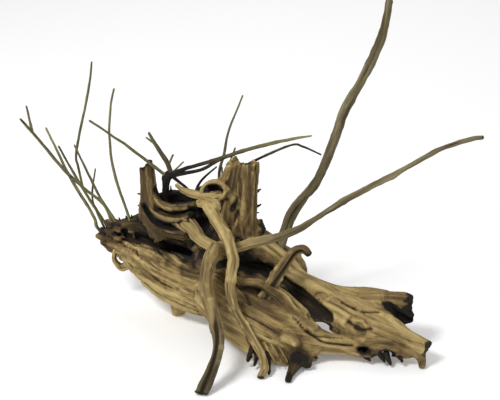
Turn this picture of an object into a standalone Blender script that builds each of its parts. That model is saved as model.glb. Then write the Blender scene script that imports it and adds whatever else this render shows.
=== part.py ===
"""Piece of driftwood: a twisted root crown that stands on its own root tips.

Everything grew as one piece, so the whole object is one solid. Thick limbs are joined and
smoothed into one body, hollows are cut from it, and the slim roots, branches and twigs are
then united with it. Lengths in the tables are millimetres; the scene is in metres.
"""

import bmesh
import bpy
from mathutils import Matrix, Vector

MM = 0.001
FRONT_UP = Vector((0.0, -0.9, 0.43))  # the way the broad faces of the body look
SLAB_UP = Vector((-0.1, -0.75, 0.65))
FRONT = Vector((0.0, -1.0, 0.15))
UP = Vector((0.0, 0.0, 1.0))
TWIG_FACING = Vector((0.3, 1.0, 0.2))

BODY_SIDES = 14  # sides of a thick limb's section
SLIM_SIDES = 8
TWIG_SIDES = 5
BODY_VOXEL = 0.0032
BODY_SMOOTHING = 4
BODY_SHARE_KEPT = 0.16  # share of the remeshed faces that the body needs
GROUND_CUT_DEPTH = 0.06
GROUND_CUT_SPAN = 0.7
SMOOTHING_SHARE = 0.5
WOOD_COLOUR = (0.33, 0.24, 0.12, 1.0)
WOOD_ROUGHNESS = 0.78

# A limb is its facing and its stations: x, y, z, half width, half thickness.
BODY_LIMBS = {
    "left_lobe": (
        FRONT_UP,
        (
            (-158, 104, 63, 11, 9),
            (-148, 100, 61, 15, 11),
            (-131, 94, 57, 21, 15),
            (-107, 79, 52, 28, 19),
            (-80, 58, 47, 34, 23),
            (-47, 36, 47, 36, 28),
            (-10, 18, 50, 36, 30),
        ),
    ),
    "left_shoulder": (
        FRONT_UP,
        ((-148, 102, 78, 8, 8), (-134, 98, 82, 10, 10), (-112, 90, 88, 13, 12), (-82, 72, 90, 18, 14)),
    ),
    "centre": (FRONT_UP, ((-36, 36, 82, 34, 28), (5, 12, 58, 40, 32), (50, -2, 40, 30, 24))),
    "rear": (FRONT_UP, ((-75, 72, 72, 26, 18), (-20, 60, 76, 36, 26), (35, 38, 54, 26, 22))),
    "upper_trunk": (
        FRONT_UP,
        (
            (-10, 44, 86, 22, 20),
            (13, 36, 80, 18, 18),
            (42, 24, 57, 16, 17),
            (71, 12, 44, 17, 18),
            (100, 0, 38, 21, 18),
            (124, -7, 42, 20, 17),
            (146, -12, 47, 17, 15),
            (166, -16, 48, 14, 13),
        ),
    ),
    "lower_lobe": (
        FRONT_UP,
        (
            (86, -10, 36, 18, 15),
            (110, -24, 32, 23, 15),
            (134, -34, 28, 21, 14),
            (158, -46, 23, 16, 12),
            (178, -56, 17, 11, 10),
        ),
    ),
    "front_slab": (
        SLAB_UP,
        (
            (-26, 2, 54, 36, 28),
            (0, -16, 42, 40, 24),
            (30, -34, 30, 38, 18),
            (56, -39, 24, 30, 14),
            (76, -43, 18, 15, 11),
            (99, -45, 16, 12, 11),
            (122, -50, 15, 11, 10),
            (142, -53, 15, 10, 9),
        ),
    ),
    "stump": (
        FRONT,
        (
            (-13, 41, 66, 25, 22),
            (-15, 42, 98, 24, 18),
            (-14, 43, 120, 21, 14),
            (-11, 45, 146, 20, 11),
            (-8, 47, 165, 19, 8),
            (-6, 48, 174, 15, 6),
        ),
    ),
    "crest": (
        FRONT,
        (
            (-58, 56, 70, 24, 15),
            (-78, 62, 90, 21, 12),
            (-94, 66, 106, 20, 12),
            (-102, 69, 124, 13, 10),
            (-105, 70, 138, 10, 8),
            (-107, 71, 150, 8, 7),
            (-106, 72, 168, 5, 5),
        ),
    ),
    "crest_sweep": (
        FRONT,
        (
            (-103, 64, 138, 6, 8),
            (-97, 60, 124, 9, 10),
            (-85, 57, 118, 9, 12),
            (-72, 56, 119, 8, 12),
            (-60, 54, 123, 8, 11),
            (-47, 48, 130, 8, 9),
            (-36, 40, 137, 8, 8),
        ),
    ),
    "back_wall": (
        FRONT,
        ((-100, 76, 106, 16, 8), (-64, 84, 102, 20, 9), (-30, 74, 110, 20, 10), (-14, 52, 116, 18, 10)),
    ),
    "heel": (UP, ((-2, 34, 60, 26, 26), (22, 58, 34, 20, 20), (30, 68, 10, 14, 14), (31, 70, -6, 11, 11))),
    "left_knob": (UP, ((-72, 54, 36, 18, 16), (-75, 51, 14, 11, 11), (-77, 50, -5, 7, 7))),
    "right_nub": (UP, ((168, -50, 18, 9, 9), (172, -57, 8, 6, 6), (173, -61, -4, 4.5, 4.5))),
    "peg": (UP, ((42, -48, 24, 15, 12), (44, -64, 13, 14, 9), (44, -75, 9, 11, 7), (40, -88, 2, 5, 5))),
    "root_fork": (UP, ((-16, 42, 142, 12, 10), (-30, 28, 148, 8, 8), (-46, 24, 145, 8, 8))),
}

# Hollows: the open crown behind the front roots, the cleft beside the left lobe, the pocket
# under the upper trunk and the small knots.
HOLLOWS = {
    "crown_hollow": (FRONT, ((-46, -6, 112, 15, 15), (-48, 30, 114, 14, 16), (-50, 64, 112, 12, 10))),
    "middle_hollow": (FRONT, ((20, -40, 88, 13, 7), (20, -8, 80, 13, 8), (18, 22, 74, 10, 6))),
    "trunk_pocket": (UP, ((44, -10, 55, 8, 8), (64, -16, 40, 9, 8), (82, -16, 28, 7, 6))),
    "see_through": (UP, ((76, -90, 59, 7, 4), (84, 50, -6, 7, 4))),
    "left_cleft": (FRONT_UP, ((-150, 80, 92, 6, 4), (-120, 70, 88, 9, 7), (-92, 56, 86, 7, 7))),
    "knot_hole": (UP, ((-36, 2, 168, 6, 5), (-36, 46, 150, 6, 5))),
    "end_knot": (UP, ((115, -70, 20, 5, 4), (114, -40, 14, 5, 4))),
}

# Slim members: x, y, z, radius.
SLIM_MEMBERS = {
    "front_leg": (
        (-26, 26, 84, 8),
        (-35, -4, 104, 7.5),
        (-43, -28, 94, 7),
        (-44, -41, 81, 7),
        (-40, -52, 67, 7),
        (-34, -66, 52, 6.5),
        (-31, -80, 38, 6),
        (-36, -97, 22, 6.5),
        (-44, -108, 9, 7),
        (-47, -113, -4, 6.5),
    ),
    "twisted_root": (
        (-40, 28, 147, 8),
        (-35, 10, 137, 6.5),
        (-22, -10, 118, 5.5),
        (-17, -22, 103, 5.5),
        (-19, -31, 91, 5),
        (-20, -38, 76, 5),
        (-14, -45, 57, 4.5),
        (-5, -51, 42, 4.5),
        (5, -59, 29, 4),
        (12, -67, 19, 4),
        (14, -75, 9, 4),
        (10, -85, -2, 3.5),
    ),
    "right_branch": (
        (-80, 66, 102, 8),
        (-68, 50, 107, 8.5),
        (-60, 40, 106, 8),
        (-51, 30, 99, 6.5),
        (-39, 20, 96, 5.5),
        (-26, 10, 98, 5),
        (-12, 3, 104, 4.5),
        (2, 2, 109, 4.5),
        (26, 6, 113, 4),
        (51, 8, 123, 4),
        (80, 8, 143, 3.8),
        (115, 10, 165, 3.4),
        (153, 12, 186, 3),
        (189, 15, 206, 2.5),
        (218, 18, 216, 2),
        (233, 19, 218, 1.6),
    ),
    "tall_branch": (
        (20, 36, 60, 8),
        (31, 43, 84, 7),
        (38, 46, 104, 6),
        (46, 47, 124, 6),
        (69, 50, 157, 5.8),
        (82, 52, 190, 5.5),
        (96, 56, 232, 5.5),
        (112, 59, 263, 5),
        (118, 60, 275, 5.2),
        (127, 62, 296, 4.6),
        (134, 64, 318, 4.5),
        (138, 66, 346, 4.2),
    ),
    "curled_spur": (
        (8, -14, 44, 7),
        (17, -20, 62, 6.8),
        (32, -12, 87, 6.2),
        (44, -5, 102, 5.6),
        (54, -6, 106, 4.8),
        (61, -11, 101, 3),
    ),
    "loop_root": (
        (-132, 92, 62, 4),
        (-141, 92, 50, 3),
        (-138, 88, 37, 3.2),
        (-128, 86, 36, 4),
        (-116, 80, 44, 5),
    ),
    "crown_root": ((-30, 30, 146, 5), (-50, 32, 149, 4.5), (-66, 36, 152, 3.5), (-72, 42, 156, 2.5)),
    "charred_stub": ((-89, 80, 108, 7), (-89, 76, 126, 5), (-87, 73, 144, 6), (-82, 70, 158, 4)),
}

TWIGS = {
    "twig_1": (
        (-233, 50, 226, 1.2),
        (-222, 58, 207, 1.7),
        (-194, 76, 157, 1.8),
        (-176, 84, 133, 1.8),
        (-155, 94, 106, 1.9),
        (-146, 100, 66, 2.2),
    ),
    "twig_1_fork": ((-228, 66, 234, 1.1), (-222, 58, 207, 1.6)),
    "twig_2": (
        (-215, 102, 195, 1.3),
        (-193, 102, 140, 1.8),
        (-170, 104, 92, 2.0),
        (-166, 106, 76, 2.0),
        (-154, 105, 62, 2.4),
    ),
    "twig_3": ((-205, 117, 168, 1.2), (-182, 113, 122, 1.6), (-158, 106, 82, 1.8), (-148, 102, 66, 2.0)),
    "twig_4": (
        (-161, 84, 275, 1.0),
        (-166, 86, 243, 1.3),
        (-182, 90, 174, 1.5),
        (-181, 88, 156, 1.5),
        (-177, 85, 133, 1.5),
    ),
    "twig_5": ((-182, 70, 189, 1.2), (-160, 88, 121, 1.7), (-141, 97, 80, 1.8), (-136, 97, 68, 1.8)),
    "twig_6": ((-164, 98, 150, 0.9), (-169, 98, 118, 1.2), (-165, 101, 96, 1.2), (-155, 103, 70, 1.4)),
    "twig_7": (
        (-137, 60, 255, 1.1),
        (-142, 64, 232, 1.3),
        (-145, 70, 193, 1.5),
        (-142, 80, 149, 1.6),
        (-130, 91, 96, 1.7),
        (-124, 90, 66, 1.8),
    ),
    "twig_8": ((-161, 30, 232, 1.2), (-126, 48, 197, 1.6), (-91, 69, 157, 2.0), (-86, 72, 152, 2.0)),
    "twig_9": ((-104, 60, 207, 1.6), (-97, 62, 192, 2.2), (-86, 68, 170, 2.8), (-82, 70, 156, 3.0)),
    "twig_9_fork": ((-107, 56, 203, 0.9), (-98, 62, 193, 1.4)),
    "twig_10": ((-79, 63, 181, 1.1), (-84, 68, 168, 1.4)),
    "twig_11": ((-68, 58, 175, 0.9), (-80, 70, 158, 1.2)),
    "twig_12": (
        (-86, 72, 150, 3.4),
        (-66, 62, 164, 3.0),
        (-43, 56, 174, 2.6),
        (0, 48, 193, 2.0),
        (30, 44, 203, 1.8),
        (63, 40, 211, 1.2),
    ),
    "twig_13": ((-84, 72, 154, 1.8), (-64, 70, 136, 1.8), (-56, 74, 112, 1.8)),
    "twig_14": ((-34, 66, 166, 1.0), (-52, 70, 146, 1.4), (-62, 76, 118, 1.6)),
    "twig_15": (
        (-7, 80, 240, 1.0),
        (-22, 74, 202, 1.4),
        (-27, 70, 178, 1.6),
        (-32, 64, 157, 1.8),
        (-32, 48, 118, 2.2),
    ),
    "twig_16": ((-29, 62, 168, 1.0), (-28, 50, 122, 1.5)),
    "twig_17": ((-15, 70, 186, 1.0), (-25, 60, 158, 1.3), (-24, 52, 124, 1.4)),
    "twig_18": (
        (74, 60, 181, 1.0),
        (55, 58, 191, 1.2),
        (41, 57, 193, 1.4),
        (0, 56, 174, 1.7),
        (-23, 54, 158, 1.8),
        (-26, 48, 130, 1.8),
    ),
}


def add_limb(mesh, facing, stations, sides):
    """Adds a closed limb: one ring per station, square to the route, bridged end to end."""
    spots = [Vector(station[:3]) * MM for station in stations]
    last = len(spots) - 1
    rings = []
    for index, station in enumerate(stations):
        ahead = spots[min(index + 1, last)]
        behind = spots[max(index - 1, 0)]
        along = (ahead - behind).normalized()
        side = along.cross(facing).normalized()
        flat = side.cross(along)
        half_width = station[3] * MM
        half_thickness = station[-1] * MM
        place = Matrix((side * half_width, flat * half_thickness, -along)).transposed().to_4x4()
        place.translation = spots[index]
        ring = bmesh.ops.create_circle(
            mesh, cap_ends=index in (0, last), radius=1.0, segments=sides, matrix=place
        )
        edges = {edge for vert in ring["verts"] for edge in vert.link_edges}
        rings.append(sorted(edges, key=lambda edge: edge.index))
    for first, second in zip(rings, rings[1:]):
        bmesh.ops.bridge_loops(mesh, edges=first + second)


def new_object(name, limbs, sides, facing=None):
    """An object that holds these limbs, each a closed shell with its faces outward."""
    mesh = bmesh.new()
    for limb in limbs.values():
        limb_facing, stations = (facing, limb) if facing else limb
        add_limb(mesh, limb_facing, stations, sides)
    bmesh.ops.recalc_face_normals(mesh, faces=mesh.faces)
    data = bpy.data.meshes.new(name)
    mesh.to_mesh(data)
    mesh.free()
    made = bpy.data.objects.new(name, data)
    bpy.context.scene.collection.objects.link(made)
    return made


def as_helper(helper):
    """A helper takes part in a modifier and isn't drawn."""
    helper.hide_render = True
    helper.display_type = "WIRE"
    return helper


def add_boolean(target, name, operation, other):
    boolean = target.modifiers.new(name, "BOOLEAN")
    boolean.operation = operation
    boolean.solver = "EXACT"
    boolean.use_self = True
    boolean.object = other


def wood_material():
    wood = bpy.data.materials.new("weathered_wood")
    wood.use_nodes = True
    shader = wood.node_tree.nodes["Principled BSDF"]
    shader.inputs["Base Color"].default_value = WOOD_COLOUR
    shader.inputs["Roughness"].default_value = WOOD_ROUGHNESS
    shader.inputs["Metallic"].default_value = 0.0
    return wood


for leftover in list(bpy.data.objects):
    bpy.data.objects.remove(leftover, do_unlink=True)

body = new_object("driftwood", BODY_LIMBS, BODY_SIDES)

remesh = body.modifiers.new("grown_together", "REMESH")
remesh.mode = "VOXEL"
remesh.voxel_size = BODY_VOXEL

smooth = body.modifiers.new("worn_smooth", "SMOOTH")
smooth.factor = SMOOTHING_SHARE
smooth.iterations = BODY_SMOOTHING

thin = body.modifiers.new("fewer_faces", "DECIMATE")
thin.ratio = BODY_SHARE_KEPT

bpy.ops.mesh.primitive_cube_add(size=1.0, location=(0.0, 0.0, -GROUND_CUT_DEPTH / 2))
ground = as_helper(bpy.context.object)
ground.name = "ground"
ground.scale = (GROUND_CUT_SPAN, GROUND_CUT_SPAN, GROUND_CUT_DEPTH)
add_boolean(body, "flat_feet", "DIFFERENCE", ground)

hollows = as_helper(new_object("hollows", HOLLOWS, SLIM_SIDES))
add_boolean(body, "cut_hollows", "DIFFERENCE", hollows)

slim = as_helper(new_object("slim_members", SLIM_MEMBERS, SLIM_SIDES, UP))
add_boolean(slim, "flat_tips", "DIFFERENCE", ground)
add_boolean(body, "add_slim_members", "UNION", slim)

twigs = as_helper(new_object("twigs", TWIGS, TWIG_SIDES, TWIG_FACING))
add_boolean(body, "add_twigs", "UNION", twigs)

body.data.materials.append(wood_material())
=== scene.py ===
"""Piece of driftwood on a pale floor: a weathered root crown with twisted roots and twigs.

The crown is one skin over many limbs that melt into each other, worked out as a field on a
grid. The slim roots, branches and twigs are profiles carried along routes. Lengths in the
tables are millimetres, the scene is in metres.
"""

import math

import bpy
import numpy as np
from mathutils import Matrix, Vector


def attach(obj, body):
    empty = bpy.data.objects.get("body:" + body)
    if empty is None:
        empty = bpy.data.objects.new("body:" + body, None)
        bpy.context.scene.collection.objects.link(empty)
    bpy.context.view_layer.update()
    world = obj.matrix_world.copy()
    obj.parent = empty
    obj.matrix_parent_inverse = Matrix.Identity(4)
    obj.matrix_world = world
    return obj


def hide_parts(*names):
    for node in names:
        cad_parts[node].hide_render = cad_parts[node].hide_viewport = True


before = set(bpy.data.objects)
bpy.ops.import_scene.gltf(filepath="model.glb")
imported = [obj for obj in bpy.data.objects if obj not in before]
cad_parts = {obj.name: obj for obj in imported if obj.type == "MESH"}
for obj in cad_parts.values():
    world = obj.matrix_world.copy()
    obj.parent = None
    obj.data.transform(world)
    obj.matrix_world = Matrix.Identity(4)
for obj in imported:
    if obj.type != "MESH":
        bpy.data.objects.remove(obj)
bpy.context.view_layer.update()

MM = 0.001
FRONT_UP = (0.0, -0.9, 0.43)  # the way the broad faces of the crown look
SLAB_UP = (-0.1, -0.75, 0.65)
FRONT = (0.0, -1.0, 0.15)
UP = (0.0, 0.0, 1.0)

GRID_STEP = 1.42
COARSE = 4  # coarse grid steps are this many fine ones
ROUTE_STEP = 12.0  # between the points that a limb's skin is measured from
GRAIN_DEPTH = 0.0012  # metres, of the finest grain that only the shading shows
FIELD_REACH = 14.0  # how far from a limb its field is worked out
BAND = 2.0  # coarse steps from the skin within which the fine grid is worked out
GRID_FLOOR = -6.0  # the grid's lowest layer
FOOT_HEIGHT = 0.4  # the crown is cut flat here, just over the floor
FEET_FADE = (2.0, 10.0)  # heights between which the relief comes in
SWELL_SHARE = 0.26  # broad swellings, as a share of a limb's least thickness
SWELL_MOST = 3.2  # and their most
BROKEN_CAP = 40.0  # how long a broken end's rounding is, so that the break cuts it
LUMP_BLEND = 1.1  # mm over which a lump melts into what it sits on
LOWEST_PROBE = 1.0  # probes stay this high, so the floor adds no painted shade
SKIN_SMOOTHING = (0.5, 2)  # share of the way and rounds
BROAD_SMOOTHING = (0.6, 14)  # what the ridges and furrows are measured against
TWIG_SHARE = 0.9  # share of the listed thickness that a twig gets

# Where each family's random seeds start, and the steps from one of it to the next
LIMB_SEED = 7
HOLLOW_SEED = 5000
LUMP_SEED = 9000
LIMB_SEED_STEP = 100
MEMBER_SEED = 900
TWIG_SEED = 3000
SPLINTER_SEED = 7000
MEMBER_SEED_STEP = 37

# Tubes: points around, step along in mm
MEMBER_GRID = (48, 1.2)
TWIG_GRID = (12, 1.6)
SPLINTER_GRID = (10, 0.9)

# ---------------------------------------------------------------- limbs of the crown
# name: facing, blend, end breaks (start, end), age (0 pale, 1 brown, 2 charred), relief,
# stations (x, y, z, half width, half thickness)
LIMBS = {
    "left_lobe": (
        FRONT_UP, 7, (14, 0), 0.2, 1.0,
        ((-164, 106, 65, 8, 8), (-150, 101, 63, 11, 10), (-132, 94, 58, 16.5, 13),
         (-107, 79, 51, 26, 18), (-80, 58, 46, 32, 21), (-47, 36, 44, 34, 24),
         (-10, 18, 46, 32, 26)),
    ),
    "left_fill": (
        FRONT_UP, 5, (0, 0), 1.9, 1.2,
        ((-144, 103, 72, 6, 7), (-118, 96, 76, 8, 9), (-94, 84, 78, 9, 10)),
    ),
    "curled_nodule": (
        FRONT_UP, 2, (0, 0), 1.2, 0.8,
        ((-104, 74, 79, 3, 4), (-97, 68, 76, 4, 5), (-92, 65, 70, 3.5, 4)),
    ),
    "left_shoulder": (
        FRONT_UP, 4, (10, 0), 1.75, 1.5,
        ((-154, 106, 77, 6, 7), (-140, 100, 81, 7, 8), (-116, 92, 88, 9, 9), (-94, 80, 86, 10, 10),
         (-72, 68, 82, 10, 10)),
    ),
    "centre": (
        FRONT_UP, 9, (0, 0), 0.6, 1.2,
        ((-36, 42, 74, 26, 22), (5, 24, 54, 32, 26), (50, 6, 36, 26, 20)),
    ),
    "rear": (
        FRONT_UP, 12, (0, 0), 0.6, 1.2,
        ((-75, 78, 72, 24, 18), (-20, 66, 76, 32, 26), (35, 44, 54, 26, 22)),
    ),
    "upper_trunk": (
        FRONT_UP, 6, (0, 7), 0.05, 0.7,
        ((-14, 42, 88, 20, 20), (13, 34, 80, 16, 18), (42, 24, 58, 14, 17), (71, 12, 45, 15, 17),
         (100, 0, 38, 19, 17), (124, -7, 41, 18, 16), (142, -12, 45, 15, 14)),
    ),
    "end_fill": (
        FRONT_UP, 4, (0, 0), 1.5, 1.2,
        ((128, -14, 38, 12, 12), (146, -18, 40, 12, 12), (157, -22, 38, 10, 10)),
    ),
    "end_knob": (
        FRONT_UP, 4, (0, 8), 0.9, 1.2,
        ((118, -2, 44, 13, 13), (142, -9, 47, 13, 12), (158, -13, 48, 13.5, 13),
         (169, -15, 47, 9, 9)),
    ),
    "lower_lobe": (
        FRONT_UP, 7, (0, 8), 0.15, 0.8,
        ((88, -10, 36, 18, 14), (110, -24, 32, 21, 14), (134, -34, 27, 19, 13),
         (158, -46, 22, 14, 11), (182, -57, 17, 10, 9)),
    ),
    "front_slab": (
        SLAB_UP, 5, (0, 16), 0.25, 0.9,
        ((-30, 0, 52, 30, 26), (-4, -16, 40, 36, 22), (28, -34, 30, 37, 17), (54, -40, 24, 29, 12),
         (72, -38, 24, 20, 8)),
    ),
    "lobe_foot": (
        UP, 4, (0, 0), 0.7, 1.3,
        ((112, -44, 18, 7, 7), (138, -52, 17, 10, 8), (158, -54, 13, 6, 6)),
    ),
    # dark_web's age paints the shade on the trunk's underside
    "dark_web": (
        FRONT_UP, 4, (0, 0), 1.0, 0.8,
        ((26, -4, 48, 10, 10), (50, -8, 37, 10, 10), (66, -12, 32, 8, 7), (76, -12, 33, 6, 6)),
    ),
    "gap_end": (
        FRONT_UP, 3, (0, 0), 0.3, 1.0,
        ((89, -24, 29, 4, 5), (96, -28, 28, 8, 8), (108, -34, 24, 9, 9)),
    ),
    "slab_edge": (
        SLAB_UP, 2, (0, 0), 0.4, 1.0,
        ((56, -38, 42, 3, 4), (65, -38, 35, 4, 5), (73, -38, 28.5, 4, 5), (83, -40, 21, 4, 5),
         (96, -44, 16, 4, 5)),
    ),
    "slab_tail": (
        SLAB_UP, 5, (0, 0), 0.1, 1.1,
        ((44, -44, 20, 16, 12), (76, -45, 18, 11, 9), (99, -46, 15, 10, 9), (120, -50, 13, 8, 8)),
    ),
    "slab_lip": (
        FRONT_UP, 4, (0, 8), 0.9, 1.5,
        ((-18, -14, 74, 4, 7), (8, -20, 74, 5, 8), (30, -24, 62, 6, 8), (48, -30, 48, 6, 7),
         (60, -34, 40, 4, 5)),
    ),
    "slab_bump": (UP, 7, (0, 0), 0.6, 1.0, ((38, -52, 30, 6, 6), (46, -60, 28, 5, 5))),
    "stump": (
        FRONT, 6, (0, 15), 0.6, 1.3,
        ((-12, 43, 62, 22, 20), (-14, 43, 96, 22, 17), (-13, 43, 118, 19.5, 13),
         (-11, 45, 140, 18, 10), (-10, 47, 160, 17.5, 8), (-7, 48, 186, 18, 6)),
    ),
    "stump_rib": (
        FRONT, 4, (0, 8), 0.6, 1.2,
        ((-28, 36, 118, 5, 7), (-27, 37, 136, 5, 6), (-22, 40, 158, 5, 5), (-17, 42, 182, 4, 4)),
    ),
    "stump_shoulder": (
        FRONT, 3, (0, 5), 0.5, 1.2,
        ((-35, 36, 150, 3, 6), (-30, 37, 160, 4.5, 7), (-25, 40, 169, 4.5, 6), (-21, 43, 178, 3, 5)),
    ),
    "stump_side": (
        FRONT, 4, (0, 9), 0.8, 1.2,
        ((1, 38, 98, 6, 7), (3, 39, 118, 4, 6), (4, 42, 142, 4, 5), (6, 43, 174, 4, 4)),
    ),
    "dark_stub": (
        UP, 4, (0, 6), 1.1, 1.6,
        ((-2, 44, 98, 9, 9), (8, 42, 105, 8, 8), (17, 40, 110, 7, 6)),
    ),
    "crest_spire": (
        FRONT, 3, (0, 9), 1.55, 1.6,
        ((-88, 64, 92, 20, 12), (-98, 67, 106, 16, 10), (-103, 69, 122, 11, 8),
         (-105, 70, 136, 9, 7), (-107, 71, 148, 7, 6), (-107, 72, 160, 5, 4),
         (-106, 73, 172, 3, 3)),
    ),
    "crest_rib_out": (
        FRONT, 2, (0, 9), 1.5, 1.6,
        ((-113, 72, 106, 5, 6), (-113, 70, 122, 4, 5), (-112, 70, 138, 3.5, 4),
         (-113, 72, 152, 3, 3.5), (-115, 73, 164, 2.5, 3)),
    ),
    "crest_rib_in": (
        FRONT, 2, (0, 10), 1.3, 1.5,
        ((-104, 66, 128, 3, 4), (-102, 68, 142, 3, 4), (-103, 70, 158, 3, 4),
         (-105, 71, 176, 2.5, 3)),
    ),
    "crest_sweep": (
        FRONT, 1.5, (0, 0), 0.85, 1.3,
        ((-107, 70, 152, 2.2, 4), (-103, 66, 136, 3.2, 5), (-94, 61, 126, 3.8, 7),
         (-82, 58, 122, 4.0, 8), (-67, 56, 125, 3.4, 8), (-54, 53, 129, 3.4, 7),
         (-42, 46, 134, 4, 6)),
    ),
    "crest_middle": (
        FRONT, 1.5, (0, 0), 1.4, 1.3,
        ((-111, 71, 140, 2.5, 4), (-106, 65, 123, 3.4, 6), (-95, 59, 114, 4.4, 8),
         (-81, 55, 111, 4.4, 9), (-68, 52, 115, 4.0, 9), (-57, 49, 120, 3.2, 7)),
    ),
    "crest_strand": (
        FRONT, 1.2, (0, 0), 1.1, 1.1,
        ((-114, 72, 120, 2, 3), (-108, 65, 110, 2.6, 4), (-98, 58, 104, 2.8, 5),
         (-84, 52, 103, 2.4, 5), (-74, 48, 105, 2, 4)),
    ),
    "crest_foot": (
        FRONT, 3, (8, 0), 1.6, 1.6,
        ((-119, 80, 98, 5, 7), (-108, 74, 103, 8, 9), (-95, 64, 102, 9, 11), (-82, 57, 98, 8, 11),
         (-68, 50, 98, 8, 10)),
    ),
    "back_wall": (
        FRONT, 5, (8, 0), 1.7, 1.8,
        ((-110, 84, 110, 10, 7), (-90, 86, 117, 11, 8), (-74, 88, 117, 11, 8),
         (-56, 86, 113, 13, 8), (-34, 78, 117, 15, 9), (-16, 58, 118, 16, 9)),
    ),
    "wall_base": (
        FRONT, 8, (0, 0), 0.8, 1.2,
        ((-88, 86, 92, 14, 12), (-50, 84, 92, 16, 14), (-14, 66, 92, 16, 16)),
    ),
    "heel": (
        UP, 8, (0, 0), 0.4, 1.0,
        ((-2, 38, 60, 24, 24), (22, 58, 34, 20, 20), (30, 68, 10, 14, 14), (31, 70, 0, 11, 11)),
    ),
    "left_knob": (
        UP, 6, (0, 0), 0.0, 0.6,
        ((-70, 56, 34, 14, 14), (-75, 52, 15, 11, 11), (-77, 50, 2, 7, 7)),
    ),
    "right_nub": (
        UP, 3, (0, 0), 1.0, 1.0,
        ((170, -54, 15, 5, 5), (173, -60, 8, 4, 4), (173, -62, 3, 3.5, 3.5)),
    ),
    "peg": (
        UP, 3, (0, 3), 1.7, 1.3,
        ((44, -46, 15, 8, 6), (46, -58, 10, 9, 6), (45, -67, 7.5, 7, 5.5), (40, -80, 5, 3.8, 4.5),
         (37, -92, 2, 3.4, 4)),
    ),
    "peg_side": (
        UP, 2, (0, 0), 1.9, 1.2,
        ((46, -58, 12, 8, 6), (53, -62, 10, 7, 7), (57, -64, 7, 5.5, 6)),
    ),
    "ring_back": (
        FRONT, 4, (0, 0), 2.2, 1.0,
        ((-50, 56, 139, 8, 9), (-37, 56, 142, 9, 9), (-26, 56, 143, 9, 9)),
    ),
    "fork_back": (
        UP, 4, (0, 0), 0.4, 1.0,
        ((-14, 44, 138, 10, 8), (-28, 42, 150, 7, 8), (-40, 42, 152, 6, 7)),
    ),
    "root_knuckle": (
        FRONT, 3, (0, 0), -0.1, 0.6,
        ((-50, 30, 141, 4, 5), (-44, 27, 143, 7, 7), (-36, 22, 141, 7, 7)),
    ),
    "knot_ring": (
        FRONT, 2, (0, 0), 0.3, 0.5,
        ((-25, 31, 153, 3.5, 5), (-29, 31, 147, 3.5, 5), (-38, 31, 144, 3.5, 5),
         (-46, 32, 146, 3.5, 5), (-49, 32, 153, 3, 4), (-45, 32, 160, 2.4, 4),
         (-37, 32, 163.5, 2.6, 4), (-29, 32, 162, 3, 4), (-24, 32, 155, 3.5, 5)),
    ),
}

# Knotty lumps at the end of the left lobe: x, y, z, radius, age
LUMPS = (
    (-159, 97, 78, 4.0, 1.15), (-161, 96, 70, 3.8, 0.85), (-158, 95, 62, 3.8, 0.95),
    (-152, 98, 84, 4.0, 1.35), (-151, 92, 77, 3.9, 0.95), (-153, 93, 69, 3.4, 0.85),
    (-149, 91, 62, 3.6, 0.65), (-144, 97, 87, 3.4, 1.45), (-143, 90, 81, 3.8, 1.15),
    (-143, 88, 72, 3.4, 0.65), (-152, 94, 55, 3.2, 0.75), (-134, 92, 84, 3.6, 1.35),
    (-127, 86, 79, 3.4, 1.15), (-136, 86, 76, 3.0, 0.85),
)

# Limbs whose grain is this many times finer than the trunk's
FINER_GRAIN = {
    "crest_spire": 1.9,
    "crest_rib_out": 1.9,
    "crest_rib_in": 1.9,
    "crest_sweep": 2.0,
    "crest_middle": 2.0,
    "crest_strand": 2.0,
    "crest_foot": 1.8,
    "back_wall": 1.5,
    "left_shoulder": 1.6,
    "left_lobe": 1.6,
    "stump": 1.9,
    "stump_rib": 1.9,
    "stump_side": 1.9,
    "stump_shoulder": 1.9,
    "root_knuckle": 1.4,
    "end_knob": 1.4,
    "peg": 1.6,
    "peg_side": 1.6,
}

# Limbs whose broken ends are charred this much; the others fully
LESS_CHARRED = {
    "stump": 0.45,
    "stump_rib": 0.4,
    "stump_side": 0.7,
    "stump_shoulder": 0.3,
    "crest_rib_in": 0.5,
}

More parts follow.
